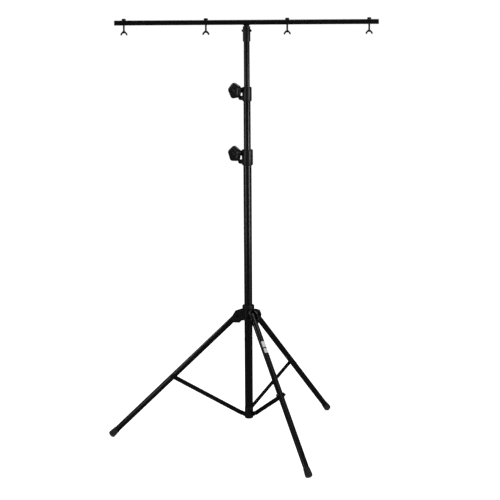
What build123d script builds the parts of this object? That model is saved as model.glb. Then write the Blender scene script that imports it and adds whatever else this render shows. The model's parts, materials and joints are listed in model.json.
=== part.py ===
from build123d import *
from math import asin, atan2, cos, degrees, hypot, radians, sin, sqrt
import os

# A telescoping tripod lighting stand with a T-bar. Millimetres. The mast stands on the Z axis, the floor is
# z = 0, and the T-bar lies along X. Each leg has a frame of its own, turned about Z: x points outward along
# the leg, y sideways.

# Mast tubes
LOWER_OD = 35.0
MIDDLE_OD = 30.0
UPPER_OD = 25.0
LOWER_WALL = 1.5
MIDDLE_WALL = 1.2
UPPER_WALL = 1.2
LOWER_BOTTOM = 106.0
LOWER_TOP = 1250.0
MIDDLE_BOTTOM = 452.0
MIDDLE_TOP = 1514.0
UPPER_BOTTOM = 662.0
UPPER_TOP = 1786.0
GLIDE_HEIGHT = 40.0
GLIDE_FLANGE = 4.0
GLIDE_GAP = 0.08
RUNNING_GAP = 0.05

# Clamp collars: one on the lower tube that grips the middle tube, one on the middle tube for the upper tube
LOWER_COLLAR = {"name": "lower", "radius": 23.75, "bottom": 1207.3, "top": 1273.6, "knob_z": 1256.3,
                "holds": LOWER_OD, "slides": MIDDLE_OD, "tube_top": LOWER_TOP, "knob_turn": 4.0}
UPPER_COLLAR = {"name": "upper", "radius": 20.0, "bottom": 1478.2, "top": 1538.4, "knob_z": 1523.0,
                "holds": MIDDLE_OD, "slides": UPPER_OD, "tube_top": MIDDLE_TOP, "knob_turn": 10.9}
EAR_AZIMUTH = 140.3
EAR_REACH = 22.5
EAR_THICKNESS = 5.5
EAR_SLIT = 3.0
SCREW_OFFSET = 14.5
CLAMP_EAR_HALF = 10.5
PINCH_EAR = (3.5, 20.5)

# Screws
M5, M6, M8 = 5.0, 6.0, 8.0
HEX_M6, HEX_M8 = 10.0, 13.0
HEAD_M6, HEAD_M8 = 4.0, 6.0
NUT_M8 = 6.5
WASHER_THICKNESS = 1.6

# Star knobs
KNOB_RADIUS = 34.2
KNOB_VALLEY = 29.0
KNOB_FLUTE_RADIUS = 30.0
KNOB_LOBE_CORNER = 6.0
KNOB_THICKNESS = 13.0
KNOB_START = 34.8
NECK_RADIUS = 8.0
KNOB_LOBES = 5
HUB_KNOB_SCALE = 0.58
SCREW_IN_KNOB = 9.0

# T-bar
BAR_SIZE = 20.0
BAR_WALL = 1.5
BAR_CENTRE_Z = 1808.8
BAR_HALF = 550.5
BAR_CAP = 2.0
BOLT_PLACES = (-512.5, -170.0, 170.0, 512.5)
STUD_DROP = 33.0
WING_DROP = 25.0
WING_THICKNESS = 4.4
HANG_HEAD = 15.0
WING_TURNS = (6.0, -9.0, 4.0, -5.0)
SLEEVE_RADIUS = 16.0
SLEEVE_BOTTOM = 1729.0
SLEEVE_TOP = 1792.0
ADAPTER_BOLT_Z = 1774.0
ADAPTER_BOLT_TURN = -12.0
ADAPTER_SEAT = SLEEVE_RADIUS - 0.7

# Hub
HUB_BODY_RADIUS = 23.0
HUB_RING_RADIUS = 26.0
HUB_BOTTOM = 536.5
HUB_SHOULDER = 587.0
HUB_TOP = 602.5
CHEEK_BOTTOM = 527.0
HUB_BORE = 38.0
HUB_KNOB_AZIMUTH = 113.5
HUB_KNOB_Z = 558.0
CHEEK_INNER = 13.1
CHEEK_OUTER = 18.6

# Legs and braces
LEG_AZIMUTHS = {"left": 173.5, "front": 293.5, "right": 53.5}
LEG_OD = 25.4
LEG_WALL = 1.5
PIVOT_R, PIVOT_Z = 48.0, 557.0
FOOT_R, FOOT_Z = 610.0, 7.5
LEG_TO_BRACE = 393.0
BASE_R, BASE_Z = 30.0, 128.6
FOLDED_LEG_ANGLE = 1.5
LEG_ABOVE_PIVOT = 12.0
FOOT_LENGTH = 39.0
FOOT_RADIUS = 15.75
FOOT_FLOOR = 8.0
BRACE_WIDTH = 19.5
BRACE_THICKNESS = 3.0
BRACE_GAP = 0.3
BRACE_FLAT = 16.0
LEG_END_NEAR = LEG_OD / 2 + BRACE_GAP
LEG_END_FAR = LEG_END_NEAR + BRACE_THICKNESS
BASE_END_NEAR = 18.5
BASE_END_FAR = BASE_END_NEAR + BRACE_THICKNESS

# Base collar
BASE_RADIUS = 18.5
BASE_BOTTOM = 100.6
BASE_TOP = 150.0
LUG_FAR = BASE_END_NEAR - BRACE_GAP
LUG_NEAR = LUG_FAR - 6.0
LUG_RADIUS = 9.0
LUG_START = 6.0

BAR_BOTTOM = BAR_CENTRE_Z - BAR_SIZE / 2
BAR_TOP = BAR_CENTRE_Z + BAR_SIZE / 2

# The fold. The leg hangs from the hub pivot, the brace stands on the base pivot, and both meet at one bolt.
# With the hub lifted by the travel, the leg hangs almost upright and the brace stands almost upright.
leg_length = hypot(FOOT_R - PIVOT_R, PIVOT_Z - FOOT_Z)
leg_angle = degrees(atan2(FOOT_R - PIVOT_R, PIVOT_Z - FOOT_Z))
joint_r = PIVOT_R + LEG_TO_BRACE * sin(radians(leg_angle))
joint_z = PIVOT_Z - LEG_TO_BRACE * cos(radians(leg_angle))
brace_length = hypot(joint_r - BASE_R, joint_z - BASE_Z)
brace_angle = degrees(atan2(joint_r - BASE_R, joint_z - BASE_Z))
folded_joint_r = PIVOT_R + LEG_TO_BRACE * sin(radians(FOLDED_LEG_ANGLE))
folded_brace_angle = degrees(asin((folded_joint_r - BASE_R) / brace_length))
hub_travel = (BASE_Z + brace_length * cos(radians(folded_brace_angle))
              + LEG_TO_BRACE * cos(radians(FOLDED_LEG_ANGLE)) - PIVOT_Z)


def rod(radius, low, high):
    """A solid cylinder on the Z axis."""
    return Pos(0, 0, low) * Cylinder(radius, high - low, align=(Align.CENTER, Align.CENTER, Align.MIN))


def ring(outer, inner, low, high):
    """A hollow cylinder on the Z axis."""
    return rod(outer, low, high) - rod(inner, low - 1, high + 1)


def hexagon(across_flats, low, high):
    """A hexagonal prism on the Z axis."""
    outline = RegularPolygon(across_flats / 2, 6, major_radius=False)
    return Pos(0, 0, low) * extrude(outline, amount=high - low)


def turned(outline):
    """The solid of revolution about Z of an outline of (radius, z) points."""
    return revolve(Plane.XZ * make_face(Polyline(*outline, close=True)), axis=Axis.Z)


def along_y(shape, x, y, z):
    """Turn a shape built on the Z axis so that it runs along +Y, from the given point."""
    return Pos(x, y, z) * Rot(-90, 0, 0) * shape


def plate(outline, radii, near, far):
    """A flat plate in the XZ plane, from y = near to y = far, with rounded corners."""
    face = make_face(FilletPolyline(*outline, radius=radii, close=True))
    return Pos(0, far, 0) * extrude(Plane.XZ * face, amount=far - near)


def box(low, high):
    """A box between two corners."""
    size = [b - a for a, b in zip(low, high)]
    return Pos(*low) * Box(*size, align=(Align.MIN, Align.MIN, Align.MIN))


def save(shape, name):
    """Write one node."""
    export_step(shape, f"parts/{name}.step")


def save_group(shapes, name):
    """Write several separate solids as one node."""
    solids = [solid for shape in shapes for solid in shape.solids()]
    save(Compound(children=solids), name)


def mast_tube(diameter, wall, low, high):
    """One mast tube, with its rim edges broken."""
    tube = ring(diameter / 2, diameter / 2 - wall, low, high)
    return chamfer(tube.edges().filter_by(GeomType.CIRCLE), 0.3)


def glide(tube_od, bore, bottom):
    """The bush on the end of an inner tube: a sleeve round the tube, with a flange under it."""
    outer = bore - GLIDE_GAP
    sleeve = ring(outer, tube_od / 2 + RUNNING_GAP, bottom, bottom + GLIDE_HEIGHT)
    flange = ring(outer, tube_od / 2 - 4, bottom - GLIDE_FLANGE, bottom - RUNNING_GAP)
    return sleeve + flange + ring(outer, tube_od / 2 + RUNNING_GAP, bottom - 1, bottom + 1)


def clamp_collar(collar):
    """The split collar, with a pair of ears for the clamp screw and a pair for the pinch screw."""
    radius, bottom, top = collar["radius"], collar["bottom"], collar["top"]
    body = turned([(0, bottom), (radius - 3, bottom), (radius, bottom + 4), (radius, top - 2),
                   (radius - 2, top), (0, top)])
    root = radius - 5
    end = radius + EAR_REACH
    clamp_low = collar["knob_z"] - CLAMP_EAR_HALF
    clamp_high = collar["knob_z"] + CLAMP_EAR_HALF
    pinch_low = bottom + PINCH_EAR[0]
    pinch_high = bottom + PINCH_EAR[1]
    for side in (-1, 1):
        near, far = sorted((side * EAR_SLIT / 2, side * (EAR_SLIT / 2 + EAR_THICKNESS)))
        body += plate([(root, clamp_low), (end, clamp_low), (end, clamp_high), (root, clamp_high)],
                      [0.5, 9.5, 9.5, 0.5], near, far)
        body += plate([(root, pinch_low), (end, pinch_low), (end, pinch_high), (root, pinch_high)],
                      [0.5, 10.5, 3.0, 0.5], near, far)
    body -= rod(collar["holds"] / 2, bottom - 1, top + 1)
    body -= box((0, -EAR_SLIT / 2, bottom - 1), (end + 1, EAR_SLIT / 2, top + 1))
    half = EAR_SLIT / 2 + EAR_THICKNESS
    reach = 2 * half + 2
    body -= along_y(rod(M8 / 2 + 0.3, 0, reach), radius + SCREW_OFFSET, -half - 1, collar["knob_z"])
    pinch_z = (pinch_low + pinch_high) / 2
    body -= along_y(rod(M5 / 2, 0, reach), radius + SCREW_OFFSET - 3, -half - 1, pinch_z)
    return body


def clamp_liner(collar):
    """The split nylon ring between the collar and the sliding tube, above the end of the outer tube."""
    liner = ring(collar["holds"] / 2, collar["slides"] / 2 + RUNNING_GAP, collar["tube_top"], collar["top"])
    return liner - box((0, -1, collar["tube_top"] - 1), (collar["radius"], 1, collar["top"] + 1))


def clamp_nut(collar):
    """The hexagonal nut of the clamp screw, behind the far ear."""
    half = EAR_SLIT / 2 + EAR_THICKNESS
    nut = hexagon(HEX_M8, -NUT_M8, 0) - rod(M8 / 2 + RUNNING_GAP, -NUT_M8 - 1, 1)
    return along_y(nut, collar["radius"] + SCREW_OFFSET, -half, collar["knob_z"])


def pinch_screw(collar):
    """The cap screw, with its nut, that holds the collar on its own tube."""
    half = EAR_SLIT / 2 + EAR_THICKNESS
    screw = rod(M5 / 2, -half - 6, half) + rod(4.3, half, half + 5) - hexagon(4.0, half + 2.5, half + 6)
    screw += hexagon(8.0, -half - 4, -half)
    z = collar["bottom"] + sum(PINCH_EAR) / 2
    return along_y(screw, collar["radius"] + SCREW_OFFSET - 3, 0, z)


def star_knob(scale, neck_start, disc_start):
    """A lobed knob on the Z axis: a neck, a star disc and a low centre button."""
    tip, valley, thick = KNOB_RADIUS * scale, KNOB_VALLEY * scale, KNOB_THICKNESS * scale
    cutter = KNOB_FLUTE_RADIUS * scale
    star = Circle(tip)
    for lobe in range(KNOB_LOBES):
        angle = radians(360 / KNOB_LOBES * (lobe + 0.5) - 90)
        star -= Pos((valley + cutter) * cos(angle), (valley + cutter) * sin(angle)) * Circle(cutter)
    star = fillet(star.vertices(), KNOB_LOBE_CORNER * scale)
    disc = Pos(0, 0, disc_start) * extrude(star, amount=thick)
    disc = fillet(disc.edges().group_by(Axis.Z)[-1], 3.0 * scale)
    disc = fillet(disc.edges().group_by(Axis.Z)[0], 1.5 * scale)
    front = disc_start + thick
    button = turned([(0, front - 1), (9 * scale, front - 1), (7.5 * scale, front + 1.5 * scale),
                     (0, front + 2.2 * scale)])
    neck = turned([(0, neck_start), (NECK_RADIUS * scale ** 0.5, neck_start),
                   (NECK_RADIUS * scale ** 0.5, disc_start - 4 * scale), (16 * scale, disc_start + 1),
                   (0, disc_start + 1)])
    return disc + button + neck


def clamp_knob(collar):
    """The knob of one collar, with a blind hole for its screw."""
    half = EAR_SLIT / 2 + EAR_THICKNESS
    knob = star_knob(1.0, half + BRACE_GAP, KNOB_START) - rod(M8 / 2, 0, KNOB_START + SCREW_IN_KNOB)
    knob = Rot(0, 0, collar["knob_turn"]) * knob
    return along_y(knob, collar["radius"] + SCREW_OFFSET, 0, collar["knob_z"])


def clamp_screw(collar):
    """The steel screw moulded into the knob."""
    half = EAR_SLIT / 2 + EAR_THICKNESS
    screw = rod(M8 / 2, -half - NUT_M8 - 3, KNOB_START + SCREW_IN_KNOB)
    screw = chamfer(screw.edges().group_by(Axis.Z)[0], 0.8)
    return along_y(screw, collar["radius"] + SCREW_OFFSET, 0, collar["knob_z"])


def make_clamp(collar):
    """All the pieces of one clamp."""
    turn = Rot(0, 0, EAR_AZIMUTH)
    name = collar["name"]
    save(turn * clamp_collar(collar), f"{name}_clamp_collar")
    save(turn * clamp_liner(collar), f"{name}_clamp_liner")
    save(turn * clamp_nut(collar), f"{name}_clamp_nut")
    save(turn * pinch_screw(collar), f"{name}_pinch_screw")
    save(turn * clamp_knob(collar), f"{name}_clamp_knob")
    save(turn * clamp_screw(collar), f"{name}_clamp_screw")


def cheek_plate(near, far):
    """One side plate of a hub fork."""
    outline = [(16, HUB_BOTTOM + 1), (27, HUB_BOTTOM), (36, CHEEK_BOTTOM), (63, CHEEK_BOTTOM), (71, 552),
               (58, 573), (34, 581.5), (16, 583)]
    return plate(outline, [0.5, 4, 6, 10, 8, 9, 8, 0.5], near, far)


def hub_casting():
    """The sliding hub: a sleeve with a top ring and two ribs, three forks and a boss for the lock screw."""
    body = turned([(0, HUB_BOTTOM), (HUB_BODY_RADIUS, HUB_BOTTOM), (HUB_BODY_RADIUS, 545.5), (26, 546),
                   (26, 549), (HUB_BODY_RADIUS, 549.5), (HUB_BODY_RADIUS, 567.5), (26, 568), (26, 571),
                   (HUB_BODY_RADIUS, 571.5), (HUB_BODY_RADIUS, HUB_SHOULDER - 3),
                   (HUB_RING_RADIUS, HUB_SHOULDER), (HUB_RING_RADIUS, HUB_TOP - 2),
                   (HUB_RING_RADIUS - 2, HUB_TOP), (0, HUB_TOP)])
    for azimuth in LEG_AZIMUTHS.values():
        fork = cheek_plate(CHEEK_INNER, CHEEK_OUTER) + cheek_plate(-CHEEK_OUTER, -CHEEK_INNER)
        fork -= along_y(rod(M8 / 2, 0, 60), PIVOT_R, -30, PIVOT_Z)
        body += Rot(0, 0, azimuth) * fork
    boss_place = Rot(0, 0, HUB_KNOB_AZIMUTH) * Pos(0, 0, HUB_KNOB_Z) * Rot(0, 90, 0)
    body += boss_place * rod(9, 15, 30)
    body -= boss_place * rod(M8 / 2 + RUNNING_GAP, 0, 40)
    return body - rod(HUB_BORE / 2, HUB_BOTTOM - 1, HUB_TOP + 1)


def hub_bush():
    """The nylon sleeve in the hub that slides on the lower tube."""
    bush = ring(HUB_BORE / 2, LOWER_OD / 2 + RUNNING_GAP, HUB_BOTTOM, HUB_TOP - 1)
    hole = Rot(0, 0, HUB_KNOB_AZIMUTH) * Pos(0, 0, HUB_KNOB_Z) * Rot(0, 90, 0) * rod(M8 / 2 + 0.3, 0, 40)
    return bush - hole


def hub_lock():
    """The hub's lock knob, and its screw, which presses on the lower tube."""
    place = Rot(0, 0, HUB_KNOB_AZIMUTH) * Pos(0, 0, HUB_KNOB_Z) * Rot(0, 90, 0)
    neck_start = 30 + BRACE_GAP
    disc_start = neck_start + 6
    screw = rod(M8 / 2, LOWER_OD / 2 + 0.2, disc_start + 4)
    knob = star_knob(HUB_KNOB_SCALE, neck_start, disc_start) - rod(M8 / 2, 0, disc_start + 4)
    return place * knob, place * screw


def pivot_bolt():
    """The bolt through a hub fork and a leg, with a low round head."""
    head = turned([(0, CHEEK_OUTER), (6.5, CHEEK_OUTER), (6.5, CHEEK_OUTER + 2), (5, CHEEK_OUTER + 3.6),
                   (0, CHEEK_OUTER + 3.6)])
    return rod(M8 / 2, -CHEEK_OUTER - 8, CHEEK_OUTER) + head


def pivot_nut():
    """The nut of a fork bolt."""
    nut = hexagon(HEX_M8, -CHEEK_OUTER - NUT_M8, -CHEEK_OUTER)
    return nut - rod(M8 / 2, -CHEEK_OUTER - 8, -CHEEK_OUTER + 1)


def leg_place(azimuth):
    """The frame of a leg: origin on the hub pivot, Z down the leg, Y sideways."""
    return Rot(0, 0, azimuth) * Pos(PIVOT_R, 0, PIVOT_Z) * Rot(0, 180 - leg_angle, 0)


def leg_tube():
    """A leg tube in the leg's frame, with holes for the fork bolt and the brace bolt."""
    end = leg_length - FOOT_FLOOR
    tube = ring(LEG_OD / 2, LEG_OD / 2 - LEG_WALL, -LEG_ABOVE_PIVOT, end)
    tube -= along_y(rod(M8 / 2 + RUNNING_GAP, 0, 40), 0, -20, 0)
    return tube - along_y(rod(M6 / 2, 0, 40), 0, -20, LEG_TO_BRACE)


def leg_plug():
    """The plastic plug in the top end of a leg."""
    inside = LEG_OD / 2 - LEG_WALL
    low = -LEG_ABOVE_PIVOT
    plug = turned([(0, low + 14), (inside, low + 14), (inside, low), (LEG_OD / 2 - 0.2, low),
                   (LEG_OD / 2 - 0.2, low - 0.6), (LEG_OD / 2 - 2.5, low - 2.5), (0, low - 2.5)])
    return plug - along_y(rod(M8 / 2 + RUNNING_GAP, 0, 40), 0, -20, 0)


def foot_cap(azimuth):
    """The rubber foot: a socket on the leg's end, flared and rounded, worn flat where it meets the floor."""
    start = leg_length - FOOT_LENGTH
    wall = LEG_OD / 2
    outline = Polyline((wall, start), (wall + 1.4, start), (wall + 1.8, start + 5),
                       (FOOT_RADIUS, leg_length - 14), (FOOT_RADIUS, leg_length), (0, leg_length),
                       (0, leg_length - FOOT_FLOOR), (wall, leg_length - FOOT_FLOOR), close=True)
    cap = revolve(Plane.XZ * make_face(outline), axis=Axis.Z)
    cap = fillet(cap.edges().group_by(Axis.Z)[-1], 7.0)
    cap = leg_place(azimuth) * cap
    return cap - box((-800, -800, -50), (800, 800, 0))


def leg_bolt():
    """The leg's half of the brace joint: head, washer and shank, flush with the tube on the brace's side."""
    outside = -LEG_OD / 2
    washer = rod(6.0, outside - WASHER_THICKNESS, outside + 1.4) - Rot(90, 0, 0) * rod(LEG_OD / 2, -10, 10)
    head = hexagon(HEX_M6, outside - WASHER_THICKNESS - HEAD_M6, outside - WASHER_THICKNESS)
    return washer + head + rod(M6 / 2, outside, LEG_OD / 2)


def brace_bar():
    """A strip with round ends, standing on the base pivot, upright, before it is tilted. It leans in from the
    lug's side to the leg's side, and both ends are flat."""
    half = BRACE_WIDTH / 2
    reach = brace_length + half
    bend = brace_length - BRACE_FLAT
    profile = [(BASE_END_NEAR, -half), (BASE_END_FAR, -half), (BASE_END_FAR, BRACE_FLAT), (LEG_END_FAR, bend),
               (LEG_END_FAR, reach), (LEG_END_NEAR, reach), (LEG_END_NEAR, bend), (BASE_END_NEAR, BRACE_FLAT)]
    bar = extrude(Plane.YZ * make_face(Polyline(*profile, close=True)), amount=half, both=True)
    outline = box((-half, 0, 0), (half, 40, brace_length))
    for height in (0, brace_length):
        outline += along_y(rod(half, 0, 40), 0, 0, height)
    bar &= outline
    bar -= along_y(rod(M6 / 2 + RUNNING_GAP, 0, 40), 0, 0, 0)
    return bar - along_y(rod(M6 / 2, 0, 40), 0, 0, brace_length)


def brace_nut():
    """The brace's half of the joint with the leg: a stub, a washer and a dome nut."""
    start = LEG_END_FAR + WASHER_THICKNESS
    stub = rod(M6 / 2, LEG_END_NEAR, start)
    washer = rod(6.0, LEG_END_FAR, start)
    dome = turned([(0, start + 3), (4.6, start + 3), (4.2, start + 5), (2.8, start + 6.2), (0, start + 6.6)])
    return stub + washer + hexagon(HEX_M6, start, start + 3.2) + dome


def base_collar():
    """The cap at the bottom of the mast, with one lug for each brace."""
    body = turned([(0, BASE_BOTTOM), (BASE_RADIUS - 6, BASE_BOTTOM), (BASE_RADIUS - 2, BASE_BOTTOM + 1.5),
                   (BASE_RADIUS, BASE_BOTTOM + 5.5), (BASE_RADIUS, BASE_TOP - 0.5),
                   (BASE_RADIUS - 0.5, BASE_TOP), (0, BASE_TOP)])
    for azimuth in LEG_AZIMUTHS.values():
        lug = box((LUG_START, LUG_NEAR, BASE_Z - LUG_RADIUS), (BASE_R, LUG_FAR, BASE_Z + LUG_RADIUS))
        lug += along_y(rod(LUG_RADIUS, LUG_NEAR, LUG_FAR), BASE_R, 0, BASE_Z)
        lug -= along_y(rod(M6 / 2, 0, 40), BASE_R, 0, BASE_Z)
        body += Rot(0, 0, azimuth) * lug
    return body - rod(LOWER_OD / 2, LOWER_BOTTOM, BASE_TOP + 1)


def base_bolt():
    """The bolt that a brace turns on, with its nut behind the lug."""
    head_start = BASE_END_FAR + BRACE_GAP
    head = hexagon(HEX_M6, head_start, head_start + HEAD_M6)
    return rod(M6 / 2, LUG_NEAR - 5, head_start) + head + hexagon(HEX_M6, LUG_NEAR - 5, LUG_NEAR)


def brace_place(azimuth):
    """The frame of a brace: origin on the base pivot, Z up the brace."""
    return Rot(0, 0, azimuth) * Pos(BASE_R, 0, BASE_Z) * Rot(0, brace_angle, 0)


def make_leg(name, azimuth):
    """The pieces of one leg and its brace."""
    place = leg_place(azimuth)
    save(place * leg_tube(), f"{name}_leg_tube")
    save(place * leg_plug(), f"{name}_leg_plug")
    save(foot_cap(azimuth), f"{name}_foot_cap")
    save(place * along_y(leg_bolt(), 0, 0, LEG_TO_BRACE), f"{name}_leg_bolt")
    place = brace_place(azimuth)
    save(place * brace_bar(), f"{name}_brace")
    save(place * along_y(brace_nut(), 0, 0, brace_length), f"{name}_brace_nut")


def square_tube(size, wall, half):
    """A square tube along X with rounded corners."""
    outer = extrude(Plane.YZ * RectangleRounded(size, size, 2.5), amount=half, both=True)
    inside = size - 2 * wall
    inner = extrude(Plane.YZ * RectangleRounded(inside, inside, 1.0), amount=half + 1, both=True)
    return outer - inner


def bar_cap():
    """The plastic plug in an end of the T-bar, with its flange from x = 0 outward."""
    flange = extrude(Plane.YZ * RectangleRounded(BAR_SIZE, BAR_SIZE, 2.5), amount=BAR_CAP)
    flange = fillet(flange.edges().group_by(Axis.X)[-1], 1.2)
    inside = BAR_SIZE - 2 * BAR_WALL
    plug = extrude(Plane.YZ * RectangleRounded(inside, inside, 1.0), amount=-14)
    core = extrude(Plane.YZ * Rectangle(inside - 4, inside - 4), amount=-15)
    return flange + (plug - core)


def tbar_tube():
    """The T-bar with its bolt holes."""
    tube = Pos(0, 0, BAR_CENTRE_Z) * square_tube(BAR_SIZE, BAR_WALL, BAR_HALF)
    for x in BOLT_PLACES:
        tube -= Pos(x, 0, 0) * rod(M8 / 2, BAR_BOTTOM - 1, BAR_TOP + 1)
    return tube


def tbar_adapter():
    """The saddle, neck and sleeve under the T-bar."""
    neck = turned([(0, SLEEVE_TOP - 2), (11, SLEEVE_TOP - 2), (11, SLEEVE_TOP + 2.5),
                   (13.5, BAR_BOTTOM - 1.2), (18, BAR_BOTTOM), (0, BAR_BOTTOM)])
    neck &= box((-30, -BAR_SIZE / 2, SLEEVE_TOP - 5), (30, BAR_SIZE / 2, BAR_BOTTOM))
    sleeve = turned([(0, SLEEVE_BOTTOM), (SLEEVE_RADIUS - 0.8, SLEEVE_BOTTOM),
                     (SLEEVE_RADIUS, SLEEVE_BOTTOM + 1), (SLEEVE_RADIUS, SLEEVE_TOP - 8),
                     (SLEEVE_RADIUS - 1, SLEEVE_TOP - 7), (SLEEVE_RADIUS, SLEEVE_TOP - 6),
                     (SLEEVE_RADIUS, SLEEVE_TOP - 1), (SLEEVE_RADIUS - 1, SLEEVE_TOP), (0, SLEEVE_TOP)])
    body = neck + sleeve - rod(UPPER_OD / 2, SLEEVE_BOTTOM - 1, UPPER_TOP)
    place = Rot(0, 0, ADAPTER_BOLT_TURN) * Pos(0, 0, ADAPTER_BOLT_Z) * Rot(0, 90, 0)
    for low, high in ((-30, -ADAPTER_SEAT), (ADAPTER_SEAT, 30)):
        body -= place * rod(6, low, high)
    return body - Rot(0, 0, ADAPTER_BOLT_TURN) * adapter_hole()


def adapter_hole():
    """The space of the cross bolt."""
    return Pos(0, 0, ADAPTER_BOLT_Z) * Rot(0, 90, 0) * rod(M6 / 2, -30, 30)


def adapter_screws():
    """The cross bolt through the sleeve and the upper tube, and its nut."""
    place = Rot(0, 0, ADAPTER_BOLT_TURN) * Pos(0, 0, ADAPTER_BOLT_Z) * Rot(0, 90, 0)
    seat = ADAPTER_SEAT
    bolt = rod(M6 / 2, -seat, seat + 6) + rod(5, -seat - 5, -seat) - hexagon(5.0, -seat - 6, -seat - 2)
    nut = hexagon(HEX_M6, seat, seat + 4.5) - rod(M6 / 2, seat - 1, seat + 6)
    return place * bolt, place * nut


def hang_bolt(x):
    """One hanging bolt, head up, standing through the T-bar."""
    seat = BAR_TOP + WASHER_THICKNESS
    head = turned([(0, seat), (9, seat), (9, seat + HEAD_M8 - 0.6), (7, seat + HEAD_M8), (0, seat + HEAD_M8)])
    stud = rod(M8 / 2, BAR_BOTTOM - STUD_DROP, seat)
    stud = chamfer(stud.edges().group_by(Axis.Z)[0], 0.8)
    return Pos(x, 0, 0) * ((head & hexagon(HANG_HEAD, seat, seat + HEAD_M8)) + stud)


def hang_washer(x):
    """The washer under a hanging bolt's head."""
    return Pos(x, 0, 0) * ring(8.75, M8 / 2, BAR_TOP, BAR_TOP + WASHER_THICKNESS)


def wing_nut(x, turn):
    """A wing nut, base up and wings pointing down and out."""
    top = BAR_BOTTOM - WING_DROP
    hub = turned([(0, top), (7.2, top), (7.2, top - 1.5), (5.6, top - 7.5), (0, top - 7.5)])
    outline = [(3, -1), (7.5, -1.5), (14.2, -9), (15, -15.8), (10.2, -17.5), (6.5, -10.5), (3, -7.4)]
    half = WING_THICKNESS / 2
    wing = Pos(0, 0, top) * plate(outline, [0.4, 2, 3.5, 2, 2, 2.5, 0.4], -half, half)
    body = hub + wing + Rot(0, 0, 180) * wing
    body -= rod(M8 / 2 + RUNNING_GAP, top - 30, top + 1)
    return Pos(x, 0, 0) * Rot(0, 0, turn) * body


def make_mast():
    """The three mast tubes and the glides at the lower ends of the inner two."""
    save(mast_tube(LOWER_OD, LOWER_WALL, LOWER_BOTTOM, LOWER_TOP), "mast_lower_tube")
    save(mast_tube(MIDDLE_OD, MIDDLE_WALL, MIDDLE_BOTTOM, MIDDLE_TOP), "mast_middle_tube")
    upper = mast_tube(UPPER_OD, UPPER_WALL, UPPER_BOTTOM, UPPER_TOP)
    save(upper - Rot(0, 0, ADAPTER_BOLT_TURN) * adapter_hole(), "mast_upper_tube")
    save(glide(MIDDLE_OD, LOWER_OD / 2 - LOWER_WALL, MIDDLE_BOTTOM), "middle_glide")
    save(glide(UPPER_OD, MIDDLE_OD / 2 - MIDDLE_WALL, UPPER_BOTTOM), "upper_glide")


def make_tbar():
    """The T-bar with its adapter, hanging bolts and wing nuts."""
    save(tbar_tube(), "tbar_tube")
    save(Pos(BAR_HALF, 0, BAR_CENTRE_Z) * bar_cap(), "tbar_right_cap")
    save(Pos(-BAR_HALF, 0, BAR_CENTRE_Z) * Rot(0, 0, 180) * bar_cap(), "tbar_left_cap")
    save(tbar_adapter(), "tbar_adapter")
    bolt, nut = adapter_screws()
    save(bolt, "adapter_bolt")
    save(nut, "adapter_nut")
    save_group([hang_bolt(x) for x in BOLT_PLACES], "hang_bolts")
    save_group([hang_washer(x) for x in BOLT_PLACES], "hang_washers")
    for number, (x, turn) in enumerate(zip(BOLT_PLACES, WING_TURNS), start=1):
        save(wing_nut(x, turn), f"wing_nut_{number}")


def make_hub():
    """The hub and its bolts, bush and lock."""
    save(hub_casting(), "hub_casting")
    save(hub_bush(), "hub_bush")
    knob, screw = hub_lock()
    save(knob, "hub_lock_knob")
    save(screw, "hub_lock_screw")
    places = [Rot(0, 0, azimuth) for azimuth in LEG_AZIMUTHS.values()]
    save_group([place * along_y(pivot_bolt(), PIVOT_R, 0, PIVOT_Z) for place in places], "hub_pivot_bolts")
    save_group([place * along_y(pivot_nut(), PIVOT_R, 0, PIVOT_Z) for place in places], "hub_pivot_nuts")


def make_base():
    """The base collar and the bolts of the braces."""
    save(base_collar(), "base_collar")
    bolt = along_y(base_bolt(), BASE_R, 0, BASE_Z)
    save_group([Rot(0, 0, azimuth) * bolt for azimuth in LEG_AZIMUTHS.values()], "base_bolts")


os.makedirs("parts", exist_ok=True)
make_mast()
make_clamp(LOWER_COLLAR)
make_clamp(UPPER_COLLAR)
make_tbar()
make_hub()
make_base()
for leg_name, leg_azimuth in LEG_AZIMUTHS.items():
    make_leg(leg_name, leg_azimuth)
print(f"leg {leg_length:.2f} mm at {leg_angle:.3f} degrees, brace {brace_length:.2f} mm at {brace_angle:.3f}")
print(f"hub travel {hub_travel:.2f} mm, folded brace at {folded_brace_angle:.3f} degrees")
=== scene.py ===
import json
import math

import bmesh
import bpy
from mathutils import Matrix, Vector


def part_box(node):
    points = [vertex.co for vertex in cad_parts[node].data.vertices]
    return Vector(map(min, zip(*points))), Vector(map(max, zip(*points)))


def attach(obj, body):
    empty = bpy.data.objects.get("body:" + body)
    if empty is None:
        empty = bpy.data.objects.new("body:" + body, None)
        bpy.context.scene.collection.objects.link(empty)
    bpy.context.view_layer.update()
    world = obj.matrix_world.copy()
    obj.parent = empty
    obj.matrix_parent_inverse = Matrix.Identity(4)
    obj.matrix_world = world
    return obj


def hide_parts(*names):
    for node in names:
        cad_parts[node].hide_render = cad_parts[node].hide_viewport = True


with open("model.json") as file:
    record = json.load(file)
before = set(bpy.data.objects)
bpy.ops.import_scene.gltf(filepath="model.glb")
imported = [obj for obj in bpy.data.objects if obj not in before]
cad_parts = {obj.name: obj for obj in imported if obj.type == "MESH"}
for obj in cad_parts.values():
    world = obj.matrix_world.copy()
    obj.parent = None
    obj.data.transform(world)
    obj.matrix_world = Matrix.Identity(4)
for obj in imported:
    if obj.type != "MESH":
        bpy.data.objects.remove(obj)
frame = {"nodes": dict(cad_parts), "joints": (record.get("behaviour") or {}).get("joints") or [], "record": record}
NODES = frame["nodes"]
JOINTS = {joint["name"]: joint for joint in frame["joints"]}
SLOTS = {part["node"]: part["material_slot"] for part in frame["record"]["subparts"]}
BODY_OF = {node: body for body, nodes in frame["record"]["behaviour"]["bodies"].items() for node in nodes}
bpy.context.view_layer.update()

LEGS = ("left", "front", "right")
MM = 0.001
UP = Vector((0, 0, 1))
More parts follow.
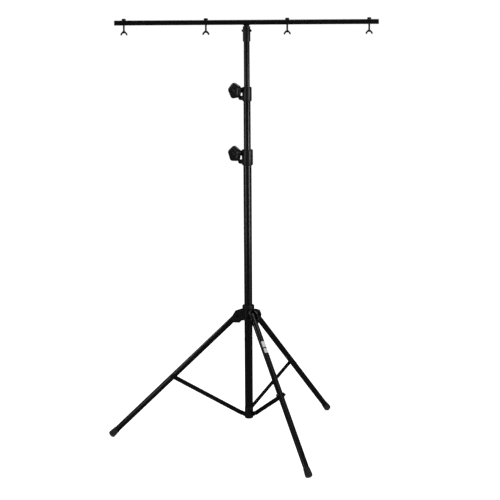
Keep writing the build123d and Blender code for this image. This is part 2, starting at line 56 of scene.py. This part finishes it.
AT_ORIGIN = Matrix.Identity(4)

# Sizes that the frame doesn't give
LOWER_WALL = 1.5 * MM
UPPER_WALL = 1.2 * MM
LEG_WALL = 1.5 * MM
KNOB_TIP = 34.2 * MM
CLAMP_KNOB_NECK = 10 * MM
HUB_KNOB_NECK = 6 * MM
HANG_HEAD = 15 * MM
M8_RADIUS = 4 * MM
M8_PITCH = 1.25 * MM
BASE_RADIUS = 18.5 * MM
BASE_FLOOR = 8 * MM
LUG_RADIUS = 9 * MM
LUG_LENGTH = 27 * MM
LUG_EDGE = 0.8 * MM

# The label on the front leg: each block's start and end down the tube, and both blocks' angles round it
LABEL_BLOCKS = ((0.131, 0.160), (0.166, 0.189))
LABEL_ANGLES = (-37, 45)
LABEL_COLUMNS, LABEL_ROWS = 14, 8

# The camera of the photograph: a long lens a little above the T-bar, tilted down
CAMERA_DISTANCE = 8.0
CAMERA_HEIGHT = 2.332
CAMERA_PITCH = 10.554
CAMERA_ROLL = -0.36
CAMERA_YAW = 0.062
CAMERA_LENS = 137.27
SENSOR = 36.0

# The studio: the floor's own glow, and what gloss and bounce see where no softbox is
FLOOR_GLOW = 1.0
ROOM_LIGHT = 0.02

# Softboxes: name, place, height of the point they face on the mast, width, height and radiance
SOFTBOXES = (
    ("left_softbox", (-3.6, -2.7, 1.15), 1.15, 1.1, 1.6, 4.0),
    ("right_softbox", (3.6, -2.7, 1.2), 1.2, 1.1, 1.4, 12.0),
    ("left_high_softbox", (-3.6, 0.9, 2.8), 1.4, 0.7, 0.7, 14.0),
    ("front_top_softbox", (0.7, -1.4, 4.3), 0.6, 2.0, 2.0, 0.6),
    ("rear_top_softbox", (0.3, 1.3, 4.4), 0.6, 2.0, 2.0, 5.0),
    ("rear_left_softbox", (-3.2, 3.8, 1.65), 1.65, 1.8, 2.7, 0.3),
    ("rear_right_softbox", (3.2, 3.8, 1.65), 1.65, 1.8, 2.7, 0.3),
)


# ---------------------------------------------------------------- node helpers
def new_material(name):
    """A node material, with its shader and links ready."""
    material = bpy.data.materials.new(name)
    material.use_nodes = True
    tree = material.node_tree
    shader = tree.nodes["Principled BSDF"]
    return material, tree, shader


def add_noise(tree, scale, detail=3.0, roughness=0.5, stretch=(1, 1, 1)):
    """Noise in the object's own coordinates."""
    coords = tree.nodes.new("ShaderNodeTexCoord")
    mapping = tree.nodes.new("ShaderNodeMapping")
    mapping.inputs["Scale"].default_value = stretch
    noise = tree.nodes.new("ShaderNodeTexNoise")
    noise.inputs["Scale"].default_value = scale
    noise.inputs["Detail"].default_value = detail
    noise.inputs["Roughness"].default_value = roughness
    tree.links.new(coords.outputs["Object"], mapping.inputs["Vector"])
    tree.links.new(mapping.outputs["Vector"], noise.inputs["Vector"])
    return noise.outputs["Fac"]


def add_ramp(tree, value, stops):
    """A colour ramp from (position, grey or colour) stops."""
    ramp = tree.nodes.new("ShaderNodeValToRGB")
    elements = ramp.color_ramp.elements
    while len(elements) < len(stops):
        elements.new(0.5)
    for element, (place, colour) in zip(elements, stops):
        element.position = place
        element.color = (*colour, 1) if isinstance(colour, tuple) else (colour, colour, colour, 1)
    tree.links.new(value, ramp.inputs["Fac"])
    return ramp.outputs["Color"]


def add_range(tree, value, low, high):
    """The value, 0 to 1, as a number from low to high."""
    node = tree.nodes.new("ShaderNodeMapRange")
    node.inputs["To Min"].default_value = low
    node.inputs["To Max"].default_value = high
    tree.links.new(value, node.inputs["Value"])
    return node.outputs["Result"]


def add_mix(tree, factor, first, second):
    """One colour over another by a factor."""
    node = tree.nodes.new("ShaderNodeMix")
    node.data_type = "RGBA"
    tree.links.new(factor, node.inputs["Factor"])
    for socket, colour in ((node.inputs[6], first), (node.inputs[7], second)):
        if isinstance(colour, tuple):
            socket.default_value = (*colour, 1)
        else:
            tree.links.new(colour, socket)
    return node.outputs[2]


def add_bump(tree, shader, layers):
    """Stack bumps of (height, strength, distance) on the shader."""
    last = None
    for height, strength, distance in layers:
        bump = tree.nodes.new("ShaderNodeBump")
        bump.inputs["Strength"].default_value = strength
        bump.inputs["Distance"].default_value = distance
        tree.links.new(height, bump.inputs["Height"])
        if last:
            tree.links.new(last, bump.inputs["Normal"])
        last = bump.outputs["Normal"]
    tree.links.new(last, shader.inputs["Normal"])


# ---------------------------------------------------------------- materials
def coated(name, colour, worn, roughness, grain, peel):
    """Black coating: orange peel, a fine grain, cloudy gloss and faint scuffs."""
    material, tree, shader = new_material(name)
    cloud = add_noise(tree, 14, 4, 0.6)
    marks = add_ramp(tree, add_noise(tree, 60, 8, 0.72, (1, 1, 0.35)), [(0.62, 0.0), (0.74, 1.0)])
    shade = add_mix(tree, cloud, tuple(0.8 * c for c in colour), tuple(1.25 * c for c in colour))
    tree.links.new(add_mix(tree, marks, shade, worn), shader.inputs["Base Color"])
    tree.links.new(add_range(tree, cloud, roughness[0], roughness[1]), shader.inputs["Roughness"])
    add_bump(tree, shader, [(add_noise(tree, peel, 2), 0.12, 0.0004), (add_noise(tree, grain, 2), 0.10, 0.0001)])
    return material


def rubber():
    """Matte black rubber with a dusty sole."""
    material, tree, shader = new_material("foot_rubber")
    speckle = add_noise(tree, 420, 5, 0.65)
    coords = tree.nodes.new("ShaderNodeTexCoord")
    split = tree.nodes.new("ShaderNodeSeparateXYZ")
    tree.links.new(coords.outputs["Object"], split.inputs["Vector"])
    height = tree.nodes.new("ShaderNodeMapRange")
    height.inputs["From Min"].default_value = 0.0
    height.inputs["From Max"].default_value = 0.012
    height.inputs["To Min"].default_value = 1.0
    height.inputs["To Max"].default_value = 0.0
    tree.links.new(split.outputs["Z"], height.inputs["Value"])
    dust = tree.nodes.new("ShaderNodeMath")
    dust.operation = "MULTIPLY"
    tree.links.new(height.outputs["Result"], dust.inputs[0])
    tree.links.new(speckle, dust.inputs[1])
    base = add_mix(tree, add_noise(tree, 90, 4), (0.010, 0.010, 0.011), (0.020, 0.020, 0.021))
    tree.links.new(add_mix(tree, dust.outputs["Value"], base, (0.10, 0.095, 0.09)), shader.inputs["Base Color"])
    tree.links.new(add_range(tree, speckle, 0.55, 0.8), shader.inputs["Roughness"])
    shader.inputs["Specular IOR Level"].default_value = 0.4
    add_bump(tree, shader, [(speckle, 0.25, 0.0002)])
    return material


def blackened_steel():
    """Black oxide on steel: metallic, with soft tool marks and thin spots."""
    material, tree, shader = new_material("black_steel")
    spots = add_ramp(tree, add_noise(tree, 300, 6, 0.7), [(0.55, 0.0), (0.8, 1.0)])
    base = add_mix(tree, add_noise(tree, 120, 3), (0.014, 0.014, 0.015), (0.024, 0.024, 0.025))
    tree.links.new(add_mix(tree, spots, base, (0.05, 0.05, 0.052)), shader.inputs["Base Color"])
    tree.links.new(add_range(tree, add_noise(tree, 500, 2), 0.34, 0.5), shader.inputs["Roughness"])
    shader.inputs["Metallic"].default_value = 0.85
    add_bump(tree, shader, [(add_noise(tree, 1600, 2), 0.1, 0.0001)])
    return material


def nylon():
    """Black nylon with flow marks."""
    material, tree, shader = new_material("nylon")
    flow = add_noise(tree, 160, 4, 0.5, (1, 1, 0.2))
    tree.links.new(add_mix(tree, flow, (0.014, 0.014, 0.014), (0.03, 0.03, 0.03)), shader.inputs["Base Color"])
    tree.links.new(add_range(tree, flow, 0.4, 0.55), shader.inputs["Roughness"])
    shader.inputs["Subsurface Weight"].default_value = 0.02
    add_bump(tree, shader, [(flow, 0.1, 0.0002)])
    return material


def sticker():
    """White vinyl with a fine paper tooth."""
    material, tree, shader = new_material("label_white")
    tooth = add_noise(tree, 700, 3)
    tree.links.new(add_mix(tree, tooth, (0.84, 0.84, 0.85), (0.93, 0.93, 0.93)), shader.inputs["Base Color"])
    tree.links.new(add_range(tree, tooth, 0.35, 0.5), shader.inputs["Roughness"])
    shader.inputs["Coat Weight"].default_value = 0.3
    add_bump(tree, shader, [(tooth, 0.1, 0.0001)])
    return material


MATERIALS = {
    "tube_coat": coated("tube_coat", (0.004, 0.004, 0.0045), (0.012, 0.012, 0.0125), (0.24, 0.33), 2600, 700),
    "brace_coat": coated("brace_coat", (0.004, 0.004, 0.0045), (0.016, 0.016, 0.0165), (0.33, 0.46), 2600, 600),
    "casting_coat": coated("casting_coat", (0.005, 0.005, 0.0055), (0.014, 0.014, 0.0145), (0.38, 0.52),
                           1500, 420),
    "collar_plastic": coated("collar_plastic", (0.007, 0.007, 0.0075), (0.014, 0.014, 0.0145), (0.34, 0.44),
                             3000, 900),
    "knob_plastic": coated("knob_plastic", (0.006, 0.006, 0.0065), (0.013, 0.013, 0.0135), (0.26, 0.34),
                           3200, 1000),
    "foot_rubber": rubber(),
    "black_steel": blackened_steel(),
    "nylon": nylon(),
    "label_white": sticker(),
}


def paint(obj, look):
    """Give an object one material."""
    obj.data.materials.clear()
    obj.data.materials.append(MATERIALS[look])


# ---------------------------------------------------------------- mesh helpers
def finish_piece(mesh_data, name, body, slot, replaced=(), sharp=38.0):
    """Turn a bmesh in the row frame into a piece that rides on a body."""
    bmesh.ops.recalc_face_normals(mesh_data, faces=mesh_data.faces)
    mesh = bpy.data.meshes.new(name)
    mesh_data.to_mesh(mesh)
    mesh_data.free()
    mesh.shade_smooth()
    mesh.set_sharp_from_angle(angle=math.radians(sharp))
    obj = bpy.data.objects.new(name, mesh)
    bpy.context.scene.collection.objects.link(obj)
    paint(obj, slot)
    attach(obj, body)
    if replaced:
        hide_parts(*replaced)
    return obj


def stack(mesh_data, rings, sides, place=AT_ORIGIN, closed=False):
    """Skin rings of (z, radius or function of angle) round the local Z axis. A radius of 0 is a pole."""
    rows = []
    for z, radius in rings:
        if radius == 0:
            rows.append([mesh_data.verts.new(place @ Vector((0, 0, z)))])
            continue
        row = []
        for step in range(sides):
            angle = math.tau * step / sides
            r = radius(angle) if callable(radius) else radius
            row.append(mesh_data.verts.new(place @ Vector((r * math.cos(angle), r * math.sin(angle), z))))
        rows.append(row)
    pairs = list(zip(rows, rows[1:]))
    if closed:
        pairs.append((rows[-1], rows[0]))
    for low, high in pairs:
        for step in range(sides):
            after = (step + 1) % sides
            corners = [low[step % len(low)], low[after % len(low)],
                       high[after % len(high)], high[step % len(high)]]
            unique = list(dict.fromkeys(corners))
            if len(unique) > 2:
                mesh_data.faces.new(unique)


def rounded(points, radii, steps=4):
    """An open or closed outline's points with corner i rounded to radii[i] (0 keeps it sharp)."""
    result = []
    count = len(points)
    for i, (point, radius) in enumerate(zip(points, radii)):
        if radius == 0:
            result.append(point)
            continue
        corner = Vector(point)
        back = (Vector(points[i - 1]) - corner).normalized()
        ahead = (Vector(points[(i + 1) % count]) - corner).normalized()
        half = back.angle(ahead) / 2
        middle = corner + (back + ahead).normalized() * (radius / math.sin(half))
        start = corner + back * (radius / math.tan(half))
        end = corner + ahead * (radius / math.tan(half))
        first = start - middle
        turn = first.angle_signed(end - middle)
        for step in range(steps + 1):
            spoke = first.copy()
            spoke.rotate(Matrix.Rotation(-turn * step / steps, 2))
            result.append(tuple(middle + spoke))
    return result


def axis_matrix(origin, direction, side):
    """A frame with Z along direction and Y along side."""
    z = Vector(direction).normalized()
    y = Vector(side).normalized()
    x = y.cross(z).normalized()
    y = z.cross(x)
    matrix = Matrix((x, y, z)).transposed().to_4x4()
    matrix.translation = Vector(origin)
    return matrix


def span(node, place):
    """The node's extent in a local frame, as (low corner, high corner)."""
    inverse = place.inverted()
    points = [inverse @ vertex.co for vertex in NODES[node].data.vertices]
    low = Vector(min(p[i] for p in points) for i in range(3))
    high = Vector(max(p[i] for p in points) for i in range(3))
    return low, high


def refined(node, width, segments=2, angle=32.0):
    """A copy of a CAD node with its facets joined and its edges rounded."""
    mesh_data = bmesh.new()
    mesh_data.from_mesh(NODES[node].data)
    bmesh.ops.remove_doubles(mesh_data, verts=mesh_data.verts, dist=1e-5)
    bmesh.ops.dissolve_limit(mesh_data, angle_limit=math.radians(0.8), verts=mesh_data.verts,
                             edges=mesh_data.edges)
    obj = finish_piece(mesh_data, f"{node}_shell", BODY_OF[node], SLOTS[node], [node], sharp=angle)
    bevel = obj.modifiers.new("edges", "BEVEL")
    bevel.width = width
    bevel.segments = segments
    bevel.limit_method = "ANGLE"
    bevel.angle_limit = math.radians(angle)
    bevel.harden_normals = True
    bevel.use_clamp_overlap = True
    return obj


# ---------------------------------------------------------------- tubes
def tube_piece(node, place, wall, sides=72):
    """A round tube with rolled rims, in the space of its CAD node."""
    low, high = span(node, place)
    radius = high.y
    rim = 0.35 * MM
    outline = rounded([(low.z, radius), (high.z, radius), (high.z, radius - wall), (low.z, radius - wall)],
                      [rim] * 4, 3)
    mesh_data = bmesh.new()
    stack(mesh_data, outline, sides, place, closed=True)
    finish_piece(mesh_data, f"{node}_wall", BODY_OF[node], SLOTS[node], [node])


def leg_place(name):
    """The frame of a leg: origin on its pivot, Z down the tube, Y along the pivot axis."""
    joint = JOINTS[f"{name}_leg_fold"]
    pivot, side = Vector(joint["pos_m"]), Vector(joint["axis"])
    points = [vertex.co for vertex in NODES[f"{name}_leg_tube"].data.vertices]
    rough = (sum(points, Vector()) / len(points) - pivot).normalized()
    reach = max((p - pivot).dot(rough) for p in points)
    rim = [p for p in points if (p - pivot).dot(rough) > reach - 20 * MM]
    end = sum(rim, Vector()) / len(rim)
    end -= side * (end - pivot).dot(side)
    return axis_matrix(pivot, end - pivot, side)


def foot_piece(name, place):
    """A rubber foot with three grip grooves, a lip and a rounded end, flat where it meets the floor."""
    node = f"{name}_foot_cap"
    low, high = span(node, place)
    tube = span(f"{name}_leg_tube", place)[1].y
    start, end = low.z, high.z
    radius = high.y
    outline = [(start, tube), (start, tube + 1.4 * MM), (start + 5 * MM, tube + 1.7 * MM)]
    corners = [0, 0.5 * MM, 1.5 * MM]
    for groove in range(3):
        top = start + (9 + 4.2 * groove) * MM
        wall = tube + (1.9 + 0.38 * groove) * MM
        outline += [(top, wall), (top + 0.6 * MM, wall - 0.7 * MM), (top + 1.5 * MM, wall - 0.7 * MM),
                    (top + 2.1 * MM, wall + 0.1 * MM)]
        corners += [0.3 * MM] * 4
    outline += [(end - 14 * MM, radius), (end, radius), (end, 0)]
    corners += [2 * MM, 7 * MM, 0]
    mesh_data = bmesh.new()
    stack(mesh_data, rounded(outline, corners, 5), 64, place)
    for vertex in mesh_data.verts:
        vertex.co.z = max(vertex.co.z, 0.0)
    finish_piece(mesh_data, f"{node}_tread", BODY_OF[node], SLOTS[node], [node])


# ---------------------------------------------------------------- base
def base_cup():
    """The base collar: a cup round the mast's foot, with a cast lug in line with each brace."""
    low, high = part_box("base_collar")
    bore = span("mast_lower_tube", AT_ORIGIN)[1].y
    floor = low.z + BASE_FLOOR
    outline = rounded([(low.z, 0), (low.z, BASE_RADIUS), (high.z, BASE_RADIUS), (high.z, bore), (floor, bore),
                       (floor, 0)], [0, 5 * MM, 0.8 * MM, 0, 0, 0], 5)
    mesh_data = bmesh.new()
    stack(mesh_data, outline, 96)
    for name in LEGS:
        pivot = Vector(JOINTS[f"{name}_brace_fold"]["pos_m"])
        side = Vector(JOINTS[f"{name}_leg_fold"]["axis"])
        bar = sum((vertex.co - pivot for vertex in NODES[f"{name}_brace"].data.vertices), Vector())
        bar = (bar - side * bar.dot(side)).normalized()
        across = side.cross(bar)
        offsets = [vertex.co - pivot for vertex in NODES["base_collar"].data.vertices]
        depths = [v.dot(side) for v in offsets if 16 * MM < v.length < 24 * MM and v.dot(side) > 11 * MM]
        near, far = min(depths), max(depths)
        rows = []
        for depth, inset in ((near, LUG_EDGE), (near + LUG_EDGE, 0), (far - LUG_EDGE, 0), (far, LUG_EDGE)):
            half = LUG_RADIUS - inset
            flat = [(-LUG_LENGTH, -half)]
            flat += [(half * math.cos(math.radians(turn)), half * math.sin(math.radians(turn)))
                     for turn in range(-90, 91, 9)]
            flat.append((-LUG_LENGTH, half))
            rows.append([mesh_data.verts.new(pivot + side * depth + bar * x + across * y) for x, y in flat])
        for row, after in zip(rows, rows[1:]):
            for step in range(len(row)):
                mesh_data.faces.new((row[step - 1], row[step], after[step], after[step - 1]))
        mesh_data.faces.new(rows[0])
        mesh_data.faces.new(rows[-1])
    finish_piece(mesh_data, "base_cup", BODY_OF["base_collar"], SLOTS["base_collar"], ["base_collar"])


# ---------------------------------------------------------------- knobs
def star_radius(tip, valley, flute, lobe, shrink):
    """Radius by angle of a star knob: a circle with shallow round flutes, one lobe at the lobe angle."""
    centre = valley + flute
    softness = 0.6 * (KNOB_TIP / tip) / MM

    def radius(angle):
        turn = (angle - lobe) % (math.tau / 5) - math.tau / 10
        reach = centre * math.cos(turn)
        inside = flute ** 2 - (centre * math.sin(turn)) ** 2
        hollow = reach - math.sqrt(inside) if inside > 0 else reach
        blend = math.exp(-softness * tip) + math.exp(-softness * hollow)
        return -math.log(blend) / softness - shrink
    return radius


def knob_piece(node, joint_name, name, neck):
    """A moulded star knob with a crowned face, a ring groove and a centre cap, on the axis of its joint."""
    joint = JOINTS[joint_name]
    place = axis_matrix(joint["pos_m"], Vector(joint["axis"]), -UP)
    inverse = place.inverted()
    points = [inverse @ vertex.co for vertex in NODES[node].data.vertices]
    tip = max(math.hypot(p.x, p.y) for p in points)
    rim = [math.atan2(p.y, p.x) for p in points if math.hypot(p.x, p.y) > 0.995 * tip]
    lobe = math.atan2(sum(math.sin(5 * a) for a in rim), sum(math.cos(5 * a) for a in rim)) / 5
    back, front = min(p.z for p in points), max(p.z for p in points)
    scale = tip / KNOB_TIP
    unit = MM * scale
    face = front - 2.2 * unit
    disc = face - 16 * unit

    def star(shrink):
        return star_radius(tip, 30.4 * unit, 150 * unit, lobe, shrink * unit)

    rings = [(back, 0), (back, neck - 0.5 * MM), (back + 0.5 * MM, neck)]
    rings += [(disc - 5 * unit, neck), (disc - 2.6 * unit, neck + 2.2 * unit), (disc - 0.8 * unit, 14.5 * unit)]
    rings += [(disc, star(2.6)), (disc + 0.4 * unit, star(1.0)), (disc + 1.2 * unit, star(0.2)),
              (disc + 2.2 * unit, star(0)), (face - 7.0 * unit, star(0)), (face - 5.4 * unit, star(0.5)),
              (face - 4.2 * unit, star(1.5)), (face - 3.2 * unit, star(2.8)), (face - 2.4 * unit, star(4.2)),
              (face - 1.3 * unit, star(7.0)), (face - 0.5 * unit, star(10.5))]
    rings += [(face, 13.2 * unit), (face - 0.1 * unit, 11.8 * unit), (face - 1.0 * unit, 11.2 * unit),
              (face - 1.0 * unit, 10.2 * unit), (face + 0.6 * unit, 9.4 * unit), (face + 1.6 * unit, 7.6 * unit),
              (face + 2.1 * unit, 4.4 * unit), (face + 2.2 * unit, 2.6 * unit), (face + 1.5 * unit, 2.0 * unit),
              (face + 1.4 * unit, 0)]
    mesh_data = bmesh.new()
    stack(mesh_data, rings, 180, place)
    finish_piece(mesh_data, name, BODY_OF[node], SLOTS[node], [node], sharp=50)


# ---------------------------------------------------------------- fasteners
def hexagon_radius(across_flats, limit):
    """Radius by angle of a hexagon, cut off at a round limit."""
    def radius(angle):
        wedge = (angle + math.pi / 6) % (math.pi / 3) - math.pi / 6
        return min(across_flats / 2 / math.cos(wedge), limit)
    return radius


def hex_rings(across_flats, low, high):
    """Rings of a hexagonal head with a turned chamfer on its top."""
    flat = across_flats / 2
    corner = flat / math.cos(math.pi / 6)
    depth = 0.13 * across_flats
    rings = [(low, 0), (low, hexagon_radius(across_flats, corner))]
    for step in range(6):
        share = step / 5
        limit = corner - share * (corner - 0.96 * flat)
        rings.append((high - depth * (1 - share), hexagon_radius(across_flats, limit)))
    return rings + [(high, 0.6 * flat), (high, 0)]


def thread_surface(mesh_data, place, low, high, sides=28):
    """An M8 thread: one sheet whose radius follows the helix, closed at both ends."""
    depth = 0.54 * M8_PITCH
    rows = int((high - low) / M8_PITCH * 6)
    grid = []
    for row in range(rows + 1):
        z = low + (high - low) * row / rows
        fade = max(0.0, min(1.0, (z - low) / M8_PITCH, (high - z) / M8_PITCH))
        ring = []
        for step in range(sides):
            angle = math.tau * step / sides
            phase = (z / M8_PITCH - angle / math.tau) % 1.0
            groove = 1 - min(1.0, 1.25 * (1 - abs(2 * phase - 1)))
            r = M8_RADIUS - depth * (groove * fade + 0.3 * (1 - fade))
            ring.append(mesh_data.verts.new(place @ Vector((r * math.cos(angle), r * math.sin(angle), z))))
        grid.append(ring)
    for low_ring, high_ring in zip(grid, grid[1:]):
        for step in range(sides):
            after = (step + 1) % sides
            mesh_data.faces.new((low_ring[step], low_ring[after], high_ring[after], high_ring[step]))
    mesh_data.faces.new(reversed(grid[0]))
    mesh_data.faces.new(grid[-1])


def hang_bolts():
    """The four hanging bolts: hexagonal head, plain shank and threaded stud."""
    bottom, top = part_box("hang_bolts")
    shank_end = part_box("tbar_tube")[0].z - 1 * MM
    washer_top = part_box("hang_washers")[1].z
    mesh_data = bmesh.new()
    for number in range(1, 5):
        low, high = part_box(f"wing_nut_{number}")
        x = (low.x + high.x) / 2
        place = Matrix.Translation((x, 0, 0)) @ Matrix.Rotation(math.radians(7 + 900 * x), 4, "Z")
        stack(mesh_data, hex_rings(HANG_HEAD, washer_top, top.z), 72, place)
        stack(mesh_data, [(shank_end, 0), (shank_end, M8_RADIUS), (washer_top + 0.1 * MM, M8_RADIUS),
                          (washer_top + 0.1 * MM, 0)], 32, place)
        thread_surface(mesh_data, place, bottom.z, shank_end)
    finish_piece(mesh_data, "hang_bolts_threaded", "head", "black_steel", ["hang_bolts"], sharp=30)


def clamp_screw(where):
    """The clamp's screw: threaded from its tip to the knob."""
    node = f"{where}_clamp_screw"
    joint = JOINTS[f"{where}_knob_turn"]
    place = axis_matrix(joint["pos_m"], Vector(joint["axis"]), -UP)
    low, high = span(node, place)
    mesh_data = bmesh.new()
    thread_surface(mesh_data, place, low.z, high.z)
    finish_piece(mesh_data, f"{node}_threaded", BODY_OF[node], SLOTS[node], [node], sharp=30)


# ---------------------------------------------------------------- label
def leg_label(place):
    """Two plain white blocks on the front leg's tube, in place of the maker's sticker."""
    radius = span("front_leg_tube", place)[1].y + 0.12 * MM
    low_angle, high_angle = LABEL_ANGLES
    columns, rows = LABEL_COLUMNS, LABEL_ROWS
    border = ([(0, c) for c in range(columns)] + [(r, columns) for r in range(rows)]
              + [(rows, c) for c in range(columns, 0, -1)] + [(r, 0) for r in range(rows, 0, -1)])
    for number, (start, end) in enumerate(LABEL_BLOCKS, start=1):
        mesh_data = bmesh.new()
        sheets = []
        for layer in (radius, radius - 0.1 * MM):
            sheet = []
            for row in range(rows + 1):
                z = start + (end - start) * row / rows
                angles = [math.radians(low_angle + (high_angle - low_angle) * column / columns)
                          for column in range(columns + 1)]
                sheet.append([mesh_data.verts.new(place @ Vector((-layer * math.cos(a), layer * math.sin(a), z)))
                              for a in angles])
            sheets.append(sheet)
        for sheet in sheets:
            for row in range(rows):
                for column in range(columns):
                    mesh_data.faces.new((sheet[row][column], sheet[row][column + 1],
                                         sheet[row + 1][column + 1], sheet[row + 1][column]))
        outer, inner = sheets
        for (row, column), (next_row, next_column) in zip(border, border[1:] + border[:1]):
            mesh_data.faces.new((outer[row][column], outer[next_row][next_column],
                                 inner[next_row][next_column], inner[row][column]))
        label = finish_piece(mesh_data, f"leg_label_{number}", "front_leg", "tube_coat")
        paint(label, "label_white")


# ---------------------------------------------------------------- stage
def make_camera():
    """The camera at the photograph's place."""
    data = bpy.data.cameras.new("camera")
    data.lens = CAMERA_LENS
    data.sensor_width = SENSOR
    camera = bpy.data.objects.new("camera", data)
    bpy.context.scene.collection.objects.link(camera)
    camera.matrix_world = (Matrix.Translation((0, -CAMERA_DISTANCE, CAMERA_HEIGHT))
                           @ Matrix.Rotation(math.radians(-CAMERA_YAW), 4, "Z")
                           @ Matrix.Rotation(math.radians(90 - CAMERA_PITCH), 4, "X")
                           @ Matrix.Rotation(math.radians(CAMERA_ROLL), 4, "Z"))
    bpy.context.scene.camera = camera


def soft_light(name, place, target, width, height, radiance):
    """A softbox facing a point on the mast, as bright as asked whatever its size."""
    data = bpy.data.lights.new(name, "AREA")
    data.shape = "RECTANGLE"
    data.size, data.size_y = width, height
    data.energy = radiance * math.pi * width * height
    light = bpy.data.objects.new(name, data)
    light.visible_camera = False
    bpy.context.scene.collection.objects.link(light)
    light.location = place
    light.rotation_euler = (Vector((0, 0, target)) - Vector(place)).to_track_quat("-Z", "Y").to_euler()


def make_stage():
    """A pale floor, white surroundings that gloss doesn't pick up, and the softboxes."""
    mesh_data = bmesh.new()
    bmesh.ops.create_grid(mesh_data, x_segments=24, y_segments=24, size=60)
    mesh = bpy.data.meshes.new("floor")
    mesh_data.to_mesh(mesh)
    mesh_data.free()
    floor = bpy.data.objects.new("floor", mesh)
    floor.location.z = -0.0002
    floor.visible_glossy = False
    bpy.context.scene.collection.objects.link(floor)
    material, tree, shader = new_material("floor_pale")
    tone = add_noise(tree, 3, 4)
    tree.links.new(add_mix(tree, tone, (0.86, 0.86, 0.86), (0.9, 0.9, 0.9)), shader.inputs["Base Color"])
    shader.inputs["Roughness"].default_value = 0.9
    shader.inputs["Specular IOR Level"].default_value = 0.1
    shader.inputs["Emission Color"].default_value = (1, 1, 1, 1)
    shader.inputs["Emission Strength"].default_value = FLOOR_GLOW
    material.cycles.emission_sampling = "NONE"
    floor.data.materials.append(material)
    world = bpy.data.worlds.new("studio")
    bpy.context.scene.world = world
    world.use_nodes = True
    tree = world.node_tree
    white = tree.nodes["Background"]
    white.inputs["Color"].default_value = (1, 1, 1, 1)
    white.inputs["Strength"].default_value = 1.0
    dark = tree.nodes.new("ShaderNodeBackground")
    dark.inputs["Color"].default_value = (1, 1, 1, 1)
    dark.inputs["Strength"].default_value = ROOM_LIGHT
    rays = tree.nodes.new("ShaderNodeLightPath")
    choose = tree.nodes.new("ShaderNodeMixShader")
    tree.links.new(rays.outputs["Is Camera Ray"], choose.inputs["Fac"])
    tree.links.new(dark.outputs["Background"], choose.inputs[1])
    tree.links.new(white.outputs["Background"], choose.inputs[2])
    tree.links.new(choose.outputs["Shader"], tree.nodes["World Output"].inputs["Surface"])
    bpy.context.scene.view_settings.view_transform = "Standard"
    for name, place, target, width, height, radiance in SOFTBOXES:
        soft_light(name, place, target, width, height, radiance)


# ---------------------------------------------------------------- build
for node_name, node_object in NODES.items():
    paint(node_object, SLOTS[node_name])

tube_piece("mast_lower_tube", AT_ORIGIN, LOWER_WALL, 96)
tube_piece("mast_middle_tube", AT_ORIGIN, UPPER_WALL, 96)
tube_piece("mast_upper_tube", AT_ORIGIN, UPPER_WALL, 96)
for leg in LEGS:
    leg_frame = leg_place(leg)
    tube_piece(f"{leg}_leg_tube", leg_frame, LEG_WALL)
    foot_piece(leg, leg_frame)
    refined(f"{leg}_leg_plug", 0.4 * MM)
    refined(f"{leg}_leg_bolt", 0.3 * MM)
    refined(f"{leg}_brace", 0.45 * MM)
    refined(f"{leg}_brace_nut", 0.3 * MM)
leg_label(leg_place("front"))

for where in ("lower", "upper"):
    refined(f"{where}_clamp_collar", 0.8 * MM, 3)
    refined(f"{where}_clamp_nut", 0.4 * MM)
    refined(f"{where}_pinch_screw", 0.3 * MM)
    clamp_screw(where)
    knob_piece(f"{where}_clamp_knob", f"{where}_knob_turn", f"{where}_clamp_star", CLAMP_KNOB_NECK)
knob_piece("hub_lock_knob", "hub_knob_turn", "hub_lock_star", HUB_KNOB_NECK)

refined("hub_casting", 1.2 * MM, 3)
refined("hub_pivot_bolts", 0.3 * MM)
refined("hub_pivot_nuts", 0.4 * MM)
base_cup()
refined("base_bolts", 0.4 * MM)
refined("tbar_tube", 0.3 * MM)
refined("tbar_left_cap", 0.3 * MM)
refined("tbar_right_cap", 0.3 * MM)
refined("tbar_adapter", 0.5 * MM)
refined("adapter_bolt", 0.3 * MM)
refined("adapter_nut", 0.3 * MM)
refined("hang_washers", 0.2 * MM)
hang_bolts()
for nut_number in range(1, 5):
    refined(f"wing_nut_{nut_number}", 0.6 * MM, 3)

make_camera()
make_stage()
